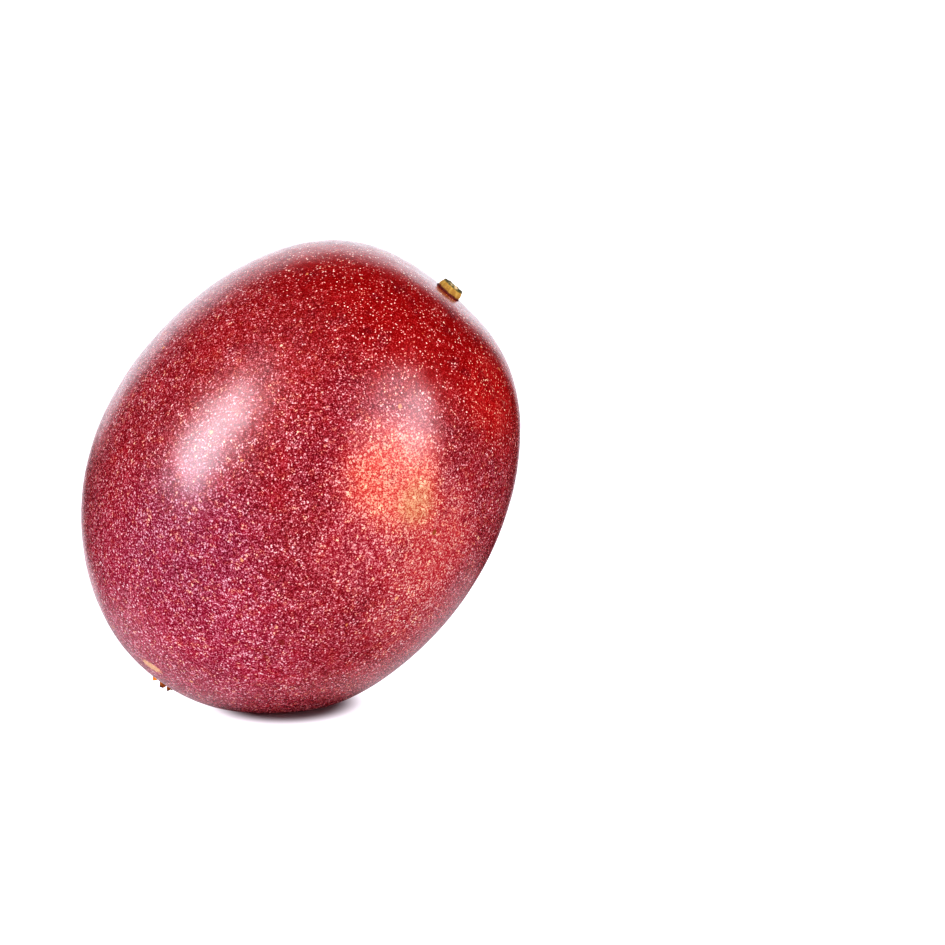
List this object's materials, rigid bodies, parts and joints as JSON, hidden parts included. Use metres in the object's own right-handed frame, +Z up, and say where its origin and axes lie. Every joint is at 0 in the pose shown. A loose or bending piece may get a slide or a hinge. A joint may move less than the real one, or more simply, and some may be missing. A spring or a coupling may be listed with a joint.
{
  "type": "passion fruit",
  "caption": "Whole purple passion fruit: egg-shaped, with a short stalk stub and dried blossom remains, standing at a lean on a small flat spot.",
  "frame": {"origin": "centre of the bounding box, on the surface that the fruit stands on", "axes": "+Z up; +X towards the side that the stalk end leans to; -Y towards the side seen from the front"},
  "size_m": [0.0586, 0.0544, 0.0624],
  "materials": {
    "rind": "satin crimson rind with fine pale speckles",
    "stalk": "dry golden stalk with a darker broken end",
    "dried_blossom": "dry brown papery plant tissue"
  },
  "bodies": {
    "root": {"fruit": "rind", "stalk_stub": "stalk", "blossom_remnant": "dried_blossom"}
  },
  "joints": []
}
